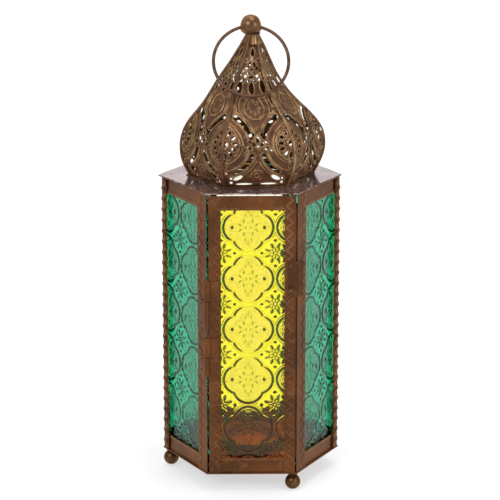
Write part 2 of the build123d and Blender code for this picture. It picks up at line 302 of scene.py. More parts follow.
# how fine each pattern is, in repeats per metre
CLOUDS, MOTTLE, FINE_GRAIN, DENTS = 38.0, 210.0, 900.0, 70.0
GLASS_DOTS, GLASS_RIPPLE = 860.0, 120.0


def patina_group():
    """Paint that clouds and rubs through to brass on what stands out."""
    colour_kind, number = "NodeSocketColor", "NodeSocketFloat"
    group, given, out = new_group(
        "Patina",
        [("Paint", colour_kind, (0.12, 0.05, 0.03, 1)), ("Rubbed", colour_kind, (0.5, 0.3, 0.15, 1)),
         ("Relief", number, 0.0), ("Rub", number, 0.5), ("Roughness", number, 0.4), ("Grain", number, 1.0)],
        [("Color", colour_kind), ("Roughness", number), ("Height", number)],
    )

    def calc(operation, a, b):
        return math_node(group, operation, a, b)

    given = given.outputs
    place = add(group, "ShaderNodeTexCoord").outputs["Object"]
    clouds = noise(group, place, CLOUDS, 5.0, 0.6)
    mottle = noise(group, place, MOTTLE, 5.0, 0.65)
    fine = noise(group, place, FINE_GRAIN, 3.0, 0.6)
    dents = noise(group, place, DENTS, 2.0, 0.4)
    shade = mix_colour(group, ramp(group, clouds, 0.35, 0.68), (0.64, 0.62, 0.64, 1), (1.24, 1.19, 1.14, 1))
    shaded = add(group, "ShaderNodeMix", data_type="RGBA", blend_type="MULTIPLY", in_0=1.0)
    group.links.new(given["Paint"], shaded.inputs[6])
    group.links.new(shade, shaded.inputs[7])
    speck = calc("MULTIPLY", ramp(group, mottle, 0.5, 0.72), 0.35)
    mottled = mix_colour(group, speck, shaded.outputs[2], given["Rubbed"])
    raised = calc("MULTIPLY", ramp(group, given["Relief"], 0.35, 0.95), given["Rub"])
    broken = calc("MULTIPLY", raised, ramp(group, mottle, 0.3, 0.6))
    worn = mix_colour(group, broken, mottled, given["Rubbed"])
    group.links.new(worn, out.inputs["Color"])
    rough = calc("ADD", given["Roughness"], calc("MULTIPLY", calc("SUBTRACT", mottle, 0.5), 0.35))
    group.links.new(calc("SUBTRACT", rough, calc("MULTIPLY", broken, 0.12)), out.inputs["Roughness"])
    bumps = calc("MULTIPLY", calc("ADD", calc("MULTIPLY", fine, 0.25), mottle), given["Grain"])
    group.links.new(calc("ADD", bumps, calc("MULTIPLY", dents, 2.0)), out.inputs["Height"])
    return group


def start_material(name):
    """New material with its node tree and its shader."""
    material = bpy.data.materials.new(name)
    material.use_nodes = True
    return material, material.node_tree, material.node_tree.nodes["Principled BSDF"]


def metal(name, paint, rubbed, rub, roughness, metallic, grain=1.0, tint=(1.0, 0.74, 0.5)):
    """Painted or bare metal with its own strength of wear."""
    found = bpy.data.materials.get(name)
    if found:
        return found
    material, tree, shader = start_material(name)
    patina = add(tree, "ShaderNodeGroup", node_tree=bpy.data.node_groups.get("Patina") or patina_group())
    tones = {"Paint": (*paint, 1), "Rubbed": (*rubbed, 1)}
    for key, value in {**tones, "Rub": rub, "Roughness": roughness, "Grain": grain}.items():
        patina.inputs[key].default_value = value
    relief = add(tree, "ShaderNodeAttribute", attribute_name="relief")
    tree.links.new(relief.outputs["Fac"], patina.inputs["Relief"])
    tree.links.new(patina.outputs["Color"], shader.inputs["Base Color"])
    tree.links.new(patina.outputs["Roughness"], shader.inputs["Roughness"])
    bump_up(tree, patina.outputs["Height"], 0.35, 0.12 * MM, shader)
    shader.inputs["Metallic"].default_value = metallic
    shader.inputs["Specular IOR Level"].default_value = 0.35
    shader.inputs["Specular Tint"].default_value = (*tint, 1)
    return material


def glass_material(name, colour, line, frosted):
    """Pressed glass: clear ground, pressed lines painted dark and a duller stippled ground inside the
    motifs. The lines' dark colour is painted shade, standing in for the dark frame and floor seen refracted
    through the real pressed relief.
    """
    found = bpy.data.materials.get(name)
    if found:
        return found
    material, tree, shader = start_material(name)
    place = add(tree, "ShaderNodeTexCoord").outputs["Object"]
    lines = add(tree, "ShaderNodeAttribute", attribute_name="line").outputs["Fac"]
    stipple = add(tree, "ShaderNodeAttribute", attribute_name="stipple").outputs["Fac"]
    dots = add(tree, "ShaderNodeTexVoronoi", [("Vector", place)], feature="F1")
    dots.inputs["Scale"].default_value = GLASS_DOTS
    beads = ramp(tree, dots.outputs["Distance"], 0.12, 0.5)
    ripple = noise(tree, place, GLASS_RIPPLE, 3.0, 0.5)
    deeper = (*[c ** 1.2 for c in colour], 1)
    streaked = mix_colour(tree, ramp(tree, ripple, 0.3, 0.75), (*colour, 1), deeper)
    frost = math_node(tree, "ADD", math_node(tree, "MULTIPLY", beads, 0.75), 0.2)
    dull = math_node(tree, "MULTIPLY", stipple, frost)
    ground = mix_colour(tree, dull, streaked, (*frosted, 1))
    # the pressed lines take the line colour: painted shade for the dark surroundings that the relief
    # refracts
    tree.links.new(mix_colour(tree, lines, ground, (*line, 1)), shader.inputs["Base Color"])
    rough = math_node(tree, "ADD", math_node(tree, "MULTIPLY", stipple, 0.1), 0.02)
    tree.links.new(rough, shader.inputs["Roughness"])
    beaded = math_node(tree, "MULTIPLY", beads, stipple)
    height = math_node(tree, "ADD", beaded, math_node(tree, "MULTIPLY", ripple, 0.8))
    bump_up(tree, height, 0.3, 0.15 * MM, shader)
    shader.inputs["Transmission Weight"].default_value = 1.0
    shader.inputs["IOR"].default_value = 1.36
    return material


def colours():
    return bpy.context.scene.lantern_colours


def sizes():
    return bpy.context.scene.lantern_sizes


def body_metal():
    return metal("Antique bronze paint", colours().bronze, (0.21, 0.1, 0.045),
                 rub=0.6, roughness=0.42, metallic=0.35)


def plate_metal():
    # The light pinkish colour is painted reflection of the pale backdrop on the glossy lacquer; the body's
    # bronze goes to the rim.
    return metal("Lacquered top plate with painted reflection", (0.46, 0.345, 0.34), colours().bronze,
                 rub=1.0, roughness=0.14, metallic=0.9, grain=0.25, tint=(1, 1, 1))


def dome_metal():
    return metal("Rubbed bronze dome", (0.095, 0.044, 0.024), colours().brass,
                 rub=0.75, roughness=0.36, metallic=0.6)


def ball_metal():
    return metal("Brassy lacquer", (0.155, 0.076, 0.04), colours().brass,
                 rub=0.8, roughness=0.33, metallic=0.8, grain=0.6)


def foot_metal():
    # The feet's lacquer is the ball's lacquer darkened as painted shade.
    return metal("Brassy lacquer with painted shade", (0.085, 0.04, 0.015), colours().brass,
                 rub=0.75, roughness=0.3, metallic=0.8, grain=0.6)


def wire_metal():
    return metal("Bronzed wire", (0.1, 0.052, 0.034), colours().brass,
                 rub=0.3, roughness=0.34, metallic=0.7, grain=0.5)


# Each line colour below is painted shade on the pressed lines: near black in the amber and green glass,
# grey in the clear glass.
def amber_glass():
    return glass_material("Amber pressed glass", colours().amber,
                          line=(0.003, 0.001, 0.0002), frosted=(0.82, 0.67, 0.17))


def clear_glass():
    return glass_material("Clear pressed glass", (1.0, 1.0, 0.94),
                          line=(0.6, 0.57, 0.45), frosted=(0.94, 0.92, 0.8))


def green_glass():
    return glass_material("Green pressed glass", colours().green,
                          line=(0.0002, 0.002, 0.0012), frosted=(0.2, 0.33, 0.24))


# ---- pressed glass ----
LOBE_OUT, LOBE_RADIUS = 6.2, 9.2


def lattice(value, pitch, start):
    """Distance from the nearest of a row of evenly spaced centres."""
    return (value - start + pitch / 2) % pitch - pitch / 2


def oval(x, y, cx, cy, long, wide, lean):
    """Signed distance, about, to an oval whose long axis leans this many degrees from upright."""
    c, s = cos(radians(lean)), sin(radians(lean))
    along, across = (x - cx) * s + (y - cy) * c, (x - cx) * c - (y - cy) * s
    return (np.hypot(along / long, across / wide) - 1) * wide


def quatrefoil(x, y):
    """Signed distance to a four-lobed outline."""
    x, y = np.abs(x), np.abs(y)
    return np.minimum(np.hypot(x - LOBE_OUT, y), np.hypot(x, y - LOBE_OUT)) - LOBE_RADIUS


def flower(x, y, petals, centre, long, wide, shift=0.0):
    """Signed distance to a ring of petals."""
    step = 2 * pi / petals
    angle = (np.arctan2(y, x) + step * (0.5 + shift)) % step - step / 2
    radius = np.hypot(x, y)
    return (np.hypot((radius * np.cos(angle) - centre) / long, radius * np.sin(angle) / wide) - 1) * wide


# marks in a quatrefoil, mirrored both ways: middle, half length, half width, lean from upright, darkness
# (the strength of the mark's painted shade)
MOTIF_MARKS = (
    (10.0, 0.0, 1.25, 0.85, 0, 1.0), (0.0, 9.9, 1.2, 0.75, 0, 0.55), (2.8, 4.1, 1.2, 0.5, 8, 0.85),
    (5.2, 1.7, 1.1, 0.5, 40, 0.85), (1.4, 0.4, 0.6, 0.5, 0, 0.7), (1.7, 8.0, 1.0, 0.45, 0, 0.7),
)


def pressed_pattern(u, v, u0, v0, pitch, sideways, weight):
    """(line, stippled ground), each from 0 to 1; the line sets both the pressed relief and the lines'
    painted shade, and sideways weakens the level lines, which get less of the painted shade.
    """
    x, y = lattice(u, pitch, u0), lattice(v, pitch, v0)
    outline = quatrefoil(x, y)
    side_x, side_y = np.abs(x), np.abs(y)
    # flank and facing: how far a stretch of outline faces sideways; the level stretches get weaker lines
    # and less painted shade
    flank = np.where(side_x > side_y, side_x - LOBE_OUT, side_x) / np.maximum(LOBE_RADIUS + outline, 1)
    facing = smooth_step(flank, 0.25, 0.55)
    strength = 1 - sideways * (1 - facing)
    inside = smooth_step(-outline, 0.9, 1.7)
    line = strength * stroke(outline, 1.45 * weight)
    line = np.maximum(line, 0.45 * strength * stroke(outline - 1.7, 0.55) * (0.4 + 0.6 * sideways))
    for *shape, dark in MOTIF_MARKS:
        mark = smooth_step(-oval(side_x, side_y, *shape), -0.3 * weight ** 4, 0.15)
        line = np.maximum(line, dark * mark)
    for cx, cy, lean in ((0, 7.4, 0), (7.4, 0, 90)):
        line = np.maximum(line, 0.3 * stroke(oval(side_x, side_y, cx, cy, 4.4, 2.6, lean), 0.5))
    a, b = lattice(u, pitch, u0 + pitch / 2), lattice(v, pitch, v0 + pitch / 2)
    line = np.maximum(line, 0.95 * smooth_step(-flower(a, b, 8, 5.0, 1.6, 0.7, 0.5), -0.35, 0.15))
    line = np.maximum(line, 0.75 * smooth_step(-flower(a, b, 8, 2.9, 1.0, 0.45), -0.25, 0.15))
    line = np.maximum(line, 0.85 * stroke(np.hypot(a, b) - 1.2, 0.7))
    line = np.maximum(line, smooth_step(-flower(a, b, 4, 8.3, 0.75, 0.9), -0.3, 0.15))
    return line, inside * (1 - line)


def pane(name, body, side, low, high, u0, v0, material, slot, sideways=0.0):
    """Slab of pressed glass: the relief is on its outer face."""
    relief = sizes().glass_relief / MM
    pitch = sizes().motif_pitch / MM
    outer, wall = APOTHEM - 2 * SHEET - 0.1, GLASS[1].y - GLASS[0].y
    bm = sheet_grid(low.x, high.x, low.z, high.z, 0.34)
    u, v, _ = places(bm)
    # Above the pane's foot the level lines get weaker painted shade; near the foot they are as dark as the
    # upright ones.
    fade = sideways * smooth_step(v, low.z + 45, low.z + 75)
    line, stipple = pressed_pattern(u, v, u0, v0, pitch, fade, 1.0 if sideways else 1.35)
    # The lines' painted shade is a fifth weaker near the pane's foot, where the relief shows bright
    # refractions over the dark floor.
    paint(bm, "line", line * (0.8 + 0.2 * smooth_step(v, low.z + 27, low.z + 44)))
    paint(bm, "stipple", stipple)
    grid = 0.5 + 0.5 * np.sin(u * 8.4) * np.sin(v * 8.4)
    depth = relief * (0.75 * line + stipple * (0.18 + 0.22 * grid))
    reshape(bm, lambda x, y, z: (x, -outer + depth, y))
    rim = [e for e in bm.edges if e.is_boundary]
    made = bmesh.ops.extrude_edge_only(bm, edges=rim)["geom"]
    back = [g for g in made if isinstance(g, bmesh.types.BMVert)]
    layers = [bm.verts.layers.float[key] for key in ("line", "stipple")]
    for vert in back:
        vert.co.y = -outer + wall
        for layer in layers:
            vert[layer] = 0.0
    edges = [g for g in made if isinstance(g, bmesh.types.BMEdge) and g.is_boundary]
    bmesh.ops.holes_fill(bm, edges=edges, sides=0)
    bmesh.ops.recalc_face_normals(bm, faces=bm.faces)
    turn(bm, 60 * side)
    return finish_piece(name, bm, body, [name], material)


# ---- beaded sheet strips ----
def zigzag(across, along, width):
    """1 on the crest of a line that goes to and fro over a width, 0 beside it."""
    pitch = sizes().bead_pitch / MM
    centre = width / 2 * (np.abs((along / pitch) % 1 * 4 - 2) - 1)
    steepness = sqrt(1 + (2 * width / pitch) ** 2)
    return stroke((across - centre) / steepness, 0.95)


def end_fade(v, low, high, keep=()):
    """1 along a strip, 0 at its ends and over the spans in keep, which stay flat."""
    fade = smooth_step(v, low + 0.5, low + 2) * (1 - smooth_step(v, high - 2, high - 0.5))
    for a, b in keep:
        fade = fade * (1 - smooth_step(v, a - 1.2, a) * (1 - smooth_step(v, b, b + 1.2)))
    return fade


def flat_strip(name, body, side, x0, x1, z0, z1, glass_left, keep=(), bead_width=4.0, worn=0.8):
    """Upright strip with a zigzag bead beside the glass."""
    height = sizes().bead_height / MM
    bm = sheet_grid(x0, x1, z0, z1, 0.3)
    u, v, _ = places(bm)
    middle = x0 + 1.0 + bead_width / 2 if glass_left else x1 - 1.0 - bead_width / 2
    bead = zigzag(u - middle, v, bead_width) * end_fade(v, z0, z1, keep)
    edge = stroke(u - (x0 if glass_left else x1), 0.7) * 0.5
    wave = 0.06 * np.sin(v * 0.11 + x0) + 0.04 * np.sin(v * 0.31)
    rubbed = worn * (0.45 + 0.55 * smooth_step(v, z0 + 0.55 * (z1 - z0), z1 - 30))
    paint(bm, "relief", np.maximum(bead * rubbed, edge))
    reshape(bm, lambda a, b, c: (a, -APOTHEM - height * bead + wave * 0.5, b))
    thicken(bm, SHEET * 0.75)
    turn(bm, 60 * side)
    return finish_piece(name, bm, body, [name], body_metal())


def folded_post(name, angle):
    """Strip folded round a corner, beaded on both wings up to the fold."""
    height = sizes().bead_height / MM * 1.25
    bm = sheet_grid(-POST_WING, POST_WING, BODY_LOW, BODY_HIGH, 0.32)
    u, v, _ = places(bm)
    bead = zigzag(np.abs(u) - 2.9, v, 4.4) * end_fade(v, BODY_LOW, BODY_HIGH)
    paint(bm, "relief", np.maximum(bead, 0.6 * stroke(np.abs(u), 1.5)))
    soft = np.sqrt(u ** 2 + 0.7 ** 2)
    out_r, out_t = cos(pi / 6), 0.5 * u / soft
    size = np.hypot(out_r, out_t)
    lift = height * bead
    radial = CORNER - 0.1 - 0.5 * (soft - 0.7) + lift * out_r / size
    across = cos(pi / 6) * u + lift * out_t / size
    reshape(bm, lambda a, b, c: (radial, across, b))
    thicken(bm, SHEET * 0.75)
    turn(bm, angle)
    return finish_piece(name, bm, "lantern", [name], body_metal())


def flat_rail(name, body, side, x0, x1, z0, z1, bead_high):
    """Level strip with a rolled edge along the glass."""
    bm = sheet_grid(x0, x1, z0, z1, 0.6)
    u, v, _ = places(bm)
    edge = z1 if bead_high else z0
    roll = stroke(v - (edge + (-0.7 if bead_high else 0.7)), 1.5)
    dents = 0.12 * np.sin(u * 0.21 + side) * np.sin(v * 0.6 + side * 2)
    paint(bm, "relief", roll * 0.7)
    reshape(bm, lambda a, b, c: (a, SHEET - APOTHEM - 0.35 * roll + dents * 0.5, b))
    thicken(bm, SHEET * 0.7)
    turn(bm, 60 * side)
    return finish_piece(name, bm, body, [name], body_metal())


# ---- plates ----
def hexed(bm, inner, outer):
    """Stretches a round plate's rim to six corners, more the further out."""
    def rule(x, y, z):
        radius, angle = np.hypot(x, y), np.arctan2(y, x)
        reach = cos(pi / 6) / np.cos(angle % (pi / 3) - pi / 6)
        scale = 1 + np.clip((radius - inner) / (outer - inner), 0, 1) * (reach - 1)
        return x * scale, y * scale, z

    reshape(bm, rule)


def top_plate():
    """Sheet plate with a round vent, a rounded turned-down edge and a slight wave."""
    outer, vent, high, low = PLATE[1].x, 30.0, PLATE[1].z, PLATE[0].z
    top = [(r, high) for r in np.linspace(vent, outer - 0.6, 22)]
    bm = turned([(vent, low), *top, *arc(outer - 0.4, (high + low) / 2, 0.4, 80, -80, 4), (vent, low)], 144)
    x, y, z = places(bm)
    # the flat top keeps the light colour of painted reflection; the rim and underside get the bronze
    paint(bm, "relief", np.where((np.hypot(x, y) < outer - 0.7) & (z > high - 0.1), 0.0, 1.0))
    hexed(bm, vent, outer)

    def wave(x, y, z):
        angle, radius = np.arctan2(y, x), np.hypot(x, y)
        droop = smooth_step(radius, outer - 8, outer) * (0.5 + 0.5 * np.cos(angle * 12))
        pulled = 1.5 * smooth_step(-x, 36, outer) - 0.6 * smooth_step(x, 36, outer)
        return x - pulled, y, z - 0.25 * droop + 0.06 * np.sin(x * 0.35) * np.sin(y * 0.3)

    reshape(bm, wave)
    return finish_piece("top_plate", bm, "lantern", ["top_plate"], plate_metal())


def floor_plate():
    """Sheet floor whose rounded edge stands out past the posts."""
    outer, high, low = FLOOR[1].x, FLOOR[1].z, FLOOR[0].z
    top = [(r, high) for r in np.linspace(outer - 1, 1.0, 20)]
    bm = turned([(0.0, low), *arc(outer - 0.4, (high + low) / 2, 0.4, -80, 80, 4), *top, (0.0, high)], 144)
    hexed(bm, 0, outer)
    paint(bm, "relief", 0.35)
    return finish_piece("floor_plate", bm, "lantern", ["floor_plate"], body_metal())


# ---- pierced dome ----
def dome_curve(samples=240):
    """Seam radius, height and the outward direction's two parts along the dome, from foot to tip."""
    points = np.array(DOME_PROFILE)
    knots = np.concatenate([[0], np.cumsum(np.hypot(*np.diff(points, axis=0).T))])
    gaps = np.diff(knots)
    count = len(knots)
    system, right = np.zeros((count, count)), np.zeros((count, 2))
    system[0, 0] = system[-1, -1] = 1
    for k in range(1, count - 1):
        system[k, k - 1:k + 2] = gaps[k - 1], 2 * (gaps[k - 1] + gaps[k]), gaps[k]
        right[k] = 6 * ((points[k + 1] - points[k]) / gaps[k] - (points[k] - points[k - 1]) / gaps[k - 1])
    bend = np.linalg.solve(system, right)
    at = np.linspace(0, knots[-1], samples)
    k = np.clip(np.searchsorted(knots, at) - 1, 0, count - 2)
    a, b = ((knots[k + 1] - at) / gaps[k])[:, None], ((at - knots[k]) / gaps[k])[:, None]
    g = gaps[k][:, None]
    curved = (a ** 3 - a) * bend[k] + (b ** 3 - b) * bend[k + 1]
    place = a * points[k] + b * points[k + 1] + curved * g * g / 6
    way = np.gradient(place, at, axis=0)
    way /= np.hypot(*way.T)[:, None]
    return place[:, 0], place[:, 1], way[:, 1], -way[:, 0]


def dome_at(share):
    """The dome's curve at shares of the way from its foot to its tip."""
    curve = dome_curve()
    steps = np.linspace(0, 1, len(curve[0]))
    return [np.interp(share, steps, column) for column in curve]


def arc_band(u, h, cu, ch, radius, half, start, end):
    """Signed distance to a curved slot with round ends."""
    middle, reach = radians((start + end) / 2), radians(abs(end - start) / 2)
    angle = (np.arctan2(h - ch, u - cu) - middle + pi) % (2 * pi) - pi
    angle = np.clip(angle, -reach, reach) + middle
    return np.hypot(u - cu - radius * np.cos(angle), h - ch - radius * np.sin(angle)) - half


def leaf(u, h, cu, ch, long, wide, lean):
    """Signed distance to an opening pointed at both ends; long and wide are half sizes."""
    c, s = cos(radians(lean)), sin(radians(lean))
    along, across = (u - cu) * s + (h - ch) * c, (u - cu) * c - (h - ch) * s
    size = (long ** 2 + wide ** 2) / (2 * wide)
    return np.maximum(np.hypot(across + size - wide, along), np.hypot(across - size + wide, along)) - size


# one dome panel's right half, in millimetres from its middle line and the dome's foot
# pointed openings: middle, half length, half width, lean from upright
LEAF_HOLES = (
    (11.8, 6.0, 3.3, 1.45, -63), (7.7, 1.5, 6.0, 0.65, 90), (7.3, 59.6, 4.4, 1.35, -13),
    (0.0, 58.9, 3.6, 1.5, 0), (0.0, 65.2, 1.6, 0.75, 90), (1.5, 72.8, 1.9, 0.7, -15),
    (0.0, 79.6, 2.8, 0.95, 0), (0.0, 30.2, 2.1, 1.05, 0), (2.7, 27.6, 1.5, 0.8, 40),
    (5.6, 25.2, 1.5, 0.75, 60), (2.9, 33.0, 1.6, 0.8, -35),
)
# round openings: middle, radius
ROUND_HOLES = (
    (15.9, 2.6, 0.9), (16.1, 5.6, 0.85), (19.4, 9.4, 0.6), (20.3, 13.2, 0.55), (20.7, 17.6, 0.65),
    (20.8, 22.0, 0.6), (0.0, 26.1, 0.75), (5.0, 29.0, 0.7), (8.4, 24.0, 0.6), (20.6, 28.0, 1.5),
    (17.0, 44.6, 0.8), (13.3, 49.4, 0.7), (1.9, 63.2, 0.75), (5.2, 63.9, 0.75), (3.6, 66.0, 0.85),
    (6.6, 66.8, 0.55), (1.8, 67.6, 0.75), (5.3, 69.0, 0.6), (0.0, 69.9, 0.65), (3.3, 70.6, 0.8),
    (3.9, 75.0, 0.55), (0.0, 76.0, 0.55),
)
REAR_HOLES = (
    (0.0, 8.6, 1.2), (4.8, 11.8, 1.2), (7.4, 9.0, 1.1), (2.0, 15.4, 1.1), (8.0, 29.6, 1.6),
    (9.9, 33.6, 1.5), (9.0, 20.6, 1.2), (13.2, 15.6, 1.2), (6.6, 50.4, 1.5), (0.0, 54.6, 1.3),
    (3.7, 56.6, 1.2), (0.0, 62.2, 0.9), (3.2, 61.0, 1.1),
)
# the round medallion on the seam, the slots that run round it and the rosette above
MEDALLION = (22.2, 28.0)
SLOT_RING = (22.0, 27.0)
ROSETTE = (0.0, 47.7)
# curved slots: middle of the arc, its radius, half width, first and last angle
ARC_HOLES = (
    (*SLOT_RING, 19.2, 1.2, 199, 219), (*SLOT_RING, 19.2, 1.0, 225, 243),
    (*SLOT_RING, 18.4, 1.35, 121, 134), (*SLOT_RING, 18.4, 1.3, 139, 150),
    (*SLOT_RING, 18.4, 1.05, 155, 166),
)
# raised lines, given in the same way with no width
RAISED_ARCS = (
    (*SLOT_RING, 21.7, 0, 196, 258), (*SLOT_RING, 23.4, 0, 206, 246), (*SLOT_RING, 16.4, 0, 186, 262),
    (*MEDALLION, 12.6, 0, 100, 260), (*MEDALLION, 10.9, 0, 100, 260), (*MEDALLION, 3.4, 0, 90, 270),
    (*ROSETTE, 6.2, 0, -90, 90), (*ROSETTE, 9.4, 0, -42, 42), (*ROSETTE, 11.2, 0, -38, 38),
    (*SLOT_RING, 21.4, 0, 118, 160), (0.0, 7.4, 3.6, 0, -60, 90), (0.0, 7.4, 1.6, 0, -90, 90),
)
PETALS, PETAL_STEP, PETAL_RING = 7, 26, 7.7


def panel_openings(u, h, rear):
    """Signed distance to the nearest opening; the rear panels have a few more."""
    u = np.abs(u)
    found = np.full_like(u, 99.0)
    for hole in LEAF_HOLES:
        found = np.minimum(found, leaf(u, h, *hole))
    for cu, ch, size in ROUND_HOLES + (REAR_HOLES if rear else ()):
        found = np.minimum(found, np.hypot(u - cu, h - ch) - size)
    for hole in ARC_HOLES:
        found = np.minimum(found, arc_band(u, h, *hole))
    for k in range(PETALS):
        way = 102 + PETAL_STEP * k
        cu = MEDALLION[0] + PETAL_RING * cos(radians(way))
        ch = MEDALLION[1] + PETAL_RING * sin(radians(way))
        found = np.minimum(found, leaf(u, h, cu, ch, 1.7, 0.85, 90 - way))
    return found


def panel_relief(u, h, openings):
    """Embossing from 0 to 1: rims round the openings, raised lines and a rosette."""
    side = np.abs(u)
    raised = 0.8 * stroke(openings - 0.55, 1.0)
    for line in RAISED_ARCS:
        raised = np.maximum(raised, stroke(arc_band(side, h, *line), 1.05))
    above = h - ROSETTE[1]
    petals = np.hypot((np.hypot(u, above) - 3.4) / 1.9, np.sin(np.arctan2(above, u) * 4) * 0.7) - 1
    raised = np.maximum(raised, 0.65 * smooth_step(-petals, -0.1, 0.5))
    for level in (52.8, 54.2, 43.0):
        bow = stroke(h - level - 0.02 * side ** 2, 0.8)
        raised = np.maximum(raised, 0.6 * bow * smooth_step(side, 0.0, 3.0))
    return np.maximum(raised, 0.55 * stroke(h - 0.8, 1.3))


def sway(bm):
    """Sets the dome's height levels a little off the axis, as hand-beaten gores sit."""
    heights = (0.0, 8.0, 17.0, 28.0, 36.0, 42.0, 47.0, 53.0, 60.0, 67.0, 72.0, 77.0, 83.0, 90.0)
    shifts = (0.5, 0.7, 1.15, 1.3, 0.9, 0.6, 0.0, -0.9, -1.3, -1.0, -0.3, 0.2, 0.8, 1.0)
    reshape(bm, lambda x, y, z: (x + np.interp(z - DOME_FOOT, heights, shifts), y, z))


SEAM_LENGTH = 108.0


def dome_panel(number):
    """Gore that is flat across, curved upwards, embossed and pierced."""
    rows, columns = 230, 92
    bm = bmesh.new()
    bmesh.ops.create_grid(bm, x_segments=columns, y_segments=rows, size=1.0)

    def placed(x, y, push):
        r, h, a, b = dome_at((y + 1) / 2)
        return x * r / 2, h, r * cos(pi / 6) + a * push, h + b * push

    grid = places(bm)
    u, h, _, _ = placed(grid[0], grid[1], 0)
    rear = number in (2, 3, 4)
    gap = panel_openings(u, h, rear)
    bm.verts.index_update()
    doomed = [f for f in bm.faces if sum(gap[v.index] for v in f.verts) < 0]
    bmesh.ops.delete(bm, geom=doomed, context="FACES")
    bm.verts.index_update()
    grid = places(bm)
    rim = np.array([any(e.is_boundary for e in v.link_edges) for v in bm.verts])
    rim &= (np.abs(grid[0]) < 0.999) & (np.abs(grid[1]) < 0.999)
    for _ in range(3):
        u, h, _, _ = placed(grid[0], grid[1], 0)
        r = dome_at((grid[1] + 1) / 2)[0]
        gap = panel_openings(u, h, rear)
        du = (panel_openings(u + 0.02, h, rear) - panel_openings(u - 0.02, h, rear)) / 0.04
        dh = (panel_openings(u, h + 0.02, rear) - panel_openings(u, h - 0.02, rear)) / 0.04
        size = np.maximum(du ** 2 + dh ** 2, 0.25)
        shift = np.where(rim, -np.clip(gap, -0.6, 0.6), 0) / size
        grid[0] += shift * du / (r / 2)
        grid[1] += shift * dh * 2 / SEAM_LENGTH
    np.clip(grid[:2], -1, 1, out=grid[:2])
    u, h, _, _ = placed(grid[0], grid[1], 0)
    raised = panel_relief(u, h, panel_openings(u, h, rear))
    paint(bm, "relief", raised)
    lift = sizes().emboss_height / MM * raised - 0.15
    across, _, front, up = placed(grid[0], grid[1], lift)
    reshape(bm, lambda x, y, z: (across, -front, DOME_FOOT + up))
    bmesh.ops.delete(bm, geom=[v for v in bm.verts if not v.link_faces], context="VERTS")
    thicken(bm, 0.5)
    turn(bm, DOME_TURN + 60 * number)
    sway(bm)
    name = f"dome_panel_{number + 1}"
    return finish_piece(name, bm, "lantern", [name], dome_metal(), crease=50)


def dome_rib(number):
    """Smooth, slightly rounded strip over a seam; the first, at the front right, gets nearly twice the
    brass as a painted highlight.
    """
    bm = bmesh.new()
    bmesh.ops.create_grid(bm, x_segments=8, y_segments=200, size=1.0)
    x, y, _ = places(bm)
    t = (y + 1) / 2
    r, h, a, b = dome_at(t)
    crown = np.sqrt(np.clip(1 - x ** 2, 0, 1))
    push = -0.35 + 1.15 * crown ** 0.6
    wide = 1.3 - 0.25 * smooth_step(t, 0.75, 1.0)
    # the crown rubs through to brass; the front-right rib's extra brass is a painted highlight
    paint(bm, "relief", crown * (0.95 if number == 0 else 0.5))
    reshape(bm, lambda *_: (x * wide, -(r + a * push), DOME_FOOT + h + b * push))
    thicken(bm, 0.3)
    turn(bm, 30 + DOME_TURN + 60 * number)
    sway(bm)
    name = f"dome_rib_{number + 1}"
    return finish_piece(name, bm, "lantern", [name], dome_metal(), crease=60)


def dome_flange():
    """Flat six-sided ring under the dome with a rounded outer edge."""
    inner, outer, low, high = 37.0, 41.5, FLANGE[0].z, FLANGE[1].z
    edge = arc(outer - 0.4, (high + low) / 2, 0.4, 75, -75, 4)
    section = [(inner, low), (inner, high), (outer - 0.6, high), *edge, (outer - 0.6, low), (inner, low)]
    bm = turned(section, 144)
    hexed(bm, 0, outer)
    turn(bm, DOME_TURN)
    paint(bm, "relief", 0.4)
    return finish_piece("dome_flange", bm, "lantern", ["dome_flange"], dome_metal())


# ---- tip, ball and ring ----
def neck_cap():
    """Cap that closes the dome's tip, with a ribbed brass sleeve over its front."""
    low, high = CAP[0].z, CAP[1].z
    sleeve = [(7.6 - 0.42 * step, high - 6.2 + step) for step in np.linspace(0, 6.0, 13)]
    bm = turned([(0, high - 6.4), (7.2, high - 6.4), *sleeve, (3.6, high), (0, high)], 180)
    x, y, z = places(bm)
    front = smooth_step(np.cos(np.arctan2(y, x) + radians(70)), 0.72, 0.93)
    ribs = (0.5 + 0.5 * np.cos(np.arctan2(y, x) * 20)) * front * smooth_step(high - z, 0.2, 1.2)
    shrink = np.where(z < high - 0.3, 0.82 + 0.2 * front + 0.06 * ribs, 1.0)
    paint(bm, "relief", 0.3 + 0.5 * front * (0.4 + 0.6 * ribs))
    reshape(bm, lambda x, y, z: (x * shrink + 1.2, y * shrink, z + 0.9))
    return finish_piece("neck_cap", bm, "lantern", ["neck_cap"], ball_metal())


RING_AXIS = frame["joints"][[j["name"] for j in frame["joints"]].index("ring_swing")]["pos_m"][2] / MM


def finial_ball():
    """Ball with a bore through it for the ring."""
    size, bore = 6.8, 1.655
    edge = degrees_of(bore / size)
    wall = [(bore - 0.05, k * size * 0.9) for k in (-0.98, -0.5, 0, 0.5, 0.98)]
    profile = arc(0, 0, size, 90 - edge, -90 + edge, 40) + wall
    bm = turned(profile + profile[:1], 72)
    turn(bm, 90, "Y")
    radius = np.array([v.co.yz.length for v in bm.verts])
    lift = smooth_step(radius, bore + 0.2, size * 0.8)
    reshape(bm, lambda x, y, z: (x, y, z + RING_AXIS + lift * 1.0))
    paint(bm, "relief", 0.5 + 0.5 * stroke(radius - bore, 1.2))
    return finish_piece("finial_ball", bm, "lantern", ["finial_ball"], ball_metal())


def degrees_of(ratio):
    return float(np.degrees(np.arcsin(ratio)))


